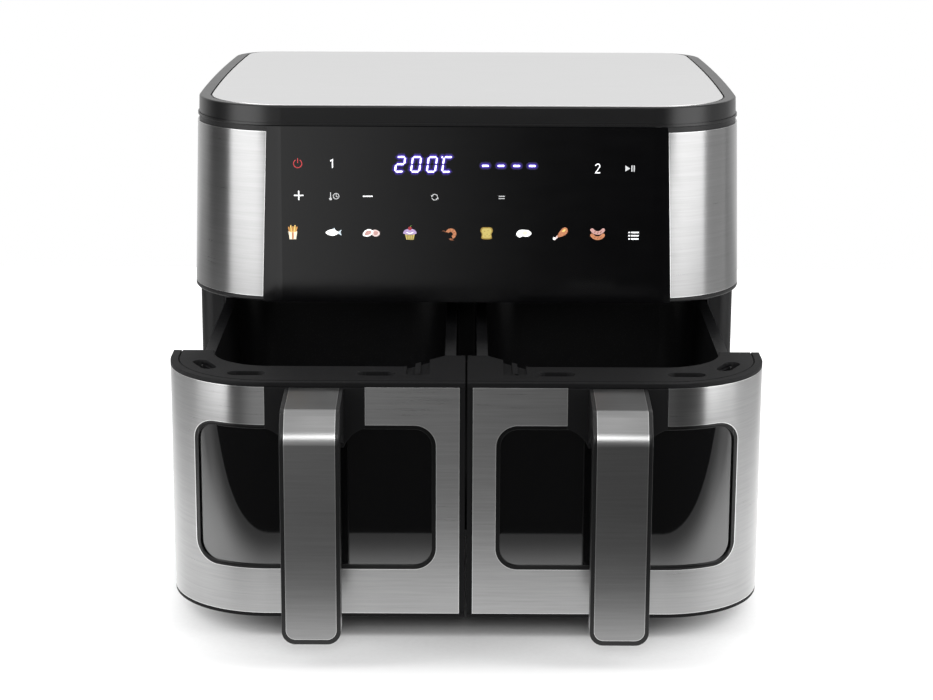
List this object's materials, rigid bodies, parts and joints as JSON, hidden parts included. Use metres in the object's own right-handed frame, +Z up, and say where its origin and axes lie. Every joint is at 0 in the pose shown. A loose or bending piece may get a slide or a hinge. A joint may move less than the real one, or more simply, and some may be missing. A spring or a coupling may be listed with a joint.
{
  "type": "two-drawer air fryer",
  "caption": "Worktop air fryer with two side-by-side pull-out drawers, windows in the drawer fronts, a touch control panel above and a flat steel lid.",
  "frame": {"origin": "centre of the whole object's box on the surface it stands on, with the drawers pulled out", "axes": "+Z up, the drawers open towards -Y, +X to the right seen from the front"},
  "size_m": [0.385, 0.515, 0.3182],
  "materials": {
    "black_plastic": "fine moulded texture",
    "handle_plastic": "satin moulding",
    "gloss_black": "polished",
    "satin_steel": "satin",
    "brushed_steel": "fine brushed grain",
    "dark_rubber": "matt",
    "window_glass": "dark tinted, polished",
    "nonstick_coating": "dark non-stick coating",
    "chamber_sheet": "coated sheet metal",
    "heater_tube": "heat-darkened",
    "motor_metal": "zinc plated",
    "cooling_fan_plastic": "moulded",
    "circuit_board": "solder mask",
    "display": "lit numerals behind dark glass",
    "screw_steel": "zinc plated"
  },
  "bodies": {
    "housing": {"housing_shell": "black_plastic", "base_plate": "black_plastic", "base_screws": "screw_steel", "rubber_feet": "dark_rubber", "lid_rim": "gloss_black", "lid_plate": "satin_steel", "control_panel": "gloss_black", "panel_carrier": "black_plastic", "display_module": "display", "control_board": "circuit_board", "rear_cover": "black_plastic", "chamber_divider": "black_plastic", "power_board": "circuit_board", "power_inlet": "dark_rubber", "left_side_trim": "brushed_steel", "right_side_trim": "brushed_steel", "left_chamber_liner": "chamber_sheet", "right_chamber_liner": "chamber_sheet", "left_heater_coil": "heater_tube", "right_heater_coil": "heater_tube", "left_heater_guard": "heater_tube", "right_heater_guard": "heater_tube", "left_motor_bridge": "chamber_sheet", "right_motor_bridge": "chamber_sheet", "left_fan_motor": "motor_metal", "right_fan_motor": "motor_metal", "left_drawer_switch": "black_plastic", "right_drawer_switch": "black_plastic"},
    "left_drawer": {"left_drawer_frame": "black_plastic", "left_fascia": "brushed_steel", "left_window_gasket": "dark_rubber", "left_window_glass": "window_glass", "left_handle_bracket": "black_plastic", "left_handle": "handle_plastic", "left_handle_strip": "brushed_steel", "left_pan": "nonstick_coating", "left_pan_glass": "window_glass", "left_pan_screws": "screw_steel"},
    "left_tray": {"left_crisper_tray": "nonstick_coating", "left_tray_bumpers": "dark_rubber"},
    "left_fan": {"left_fan_shaft": "motor_metal", "left_convection_fan": "chamber_sheet", "left_cooling_fan": "cooling_fan_plastic"},
    "left_switch": {"left_switch_plunger": "black_plastic"},
    "right_drawer": {"right_drawer_frame": "black_plastic", "right_fascia": "brushed_steel", "right_window_gasket": "dark_rubber", "right_window_glass": "window_glass", "right_handle_bracket": "black_plastic", "right_handle": "handle_plastic", "right_handle_strip": "brushed_steel", "right_pan": "nonstick_coating", "right_pan_glass": "window_glass", "right_pan_screws": "screw_steel"},
    "right_tray": {"right_crisper_tray": "nonstick_coating", "right_tray_bumpers": "dark_rubber"},
    "right_fan": {"right_fan_shaft": "motor_metal", "right_convection_fan": "chamber_sheet", "right_cooling_fan": "cooling_fan_plastic"},
    "right_switch": {"right_switch_plunger": "black_plastic"}
  },
  "joints": [
    {"name": "left_drawer_slide", "type": "slide", "parent": "housing", "child": "left_drawer", "axis": [0, -1, 0], "range_m": [-0.16, 0.01]},
    {"name": "left_tray_lift", "type": "slide", "parent": "left_drawer", "child": "left_tray", "axis": [0, 0, 1], "range_m": [0, 0.09]},
    {"name": "left_fan_spin", "type": "hinge", "parent": "housing", "child": "left_fan", "pos_m": [-0.08996, 0.10875, 0.2343], "axis": [0, 0, 1], "continuous": true},
    {"name": "left_switch_press", "type": "slide", "parent": "housing", "child": "left_switch", "axis": [0, 1, 0], "range_m": [0, 0.0025], "stiffness_N_per_m": 100},
    {"name": "right_drawer_slide", "type": "slide", "parent": "housing", "child": "right_drawer", "axis": [0, -1, 0], "range_m": [-0.16, 0.01]},
    {"name": "right_tray_lift", "type": "slide", "parent": "right_drawer", "child": "right_tray", "axis": [0, 0, 1], "range_m": [0, 0.09]},
    {"name": "right_fan_spin", "type": "hinge", "parent": "housing", "child": "right_fan", "pos_m": [0.08996, 0.10875, 0.2343], "axis": [0, 0, 1], "continuous": true},
    {"name": "right_switch_press", "type": "slide", "parent": "housing", "child": "right_switch", "axis": [0, 1, 0], "range_m": [0, 0.0025], "stiffness_N_per_m": 100}
  ]
}
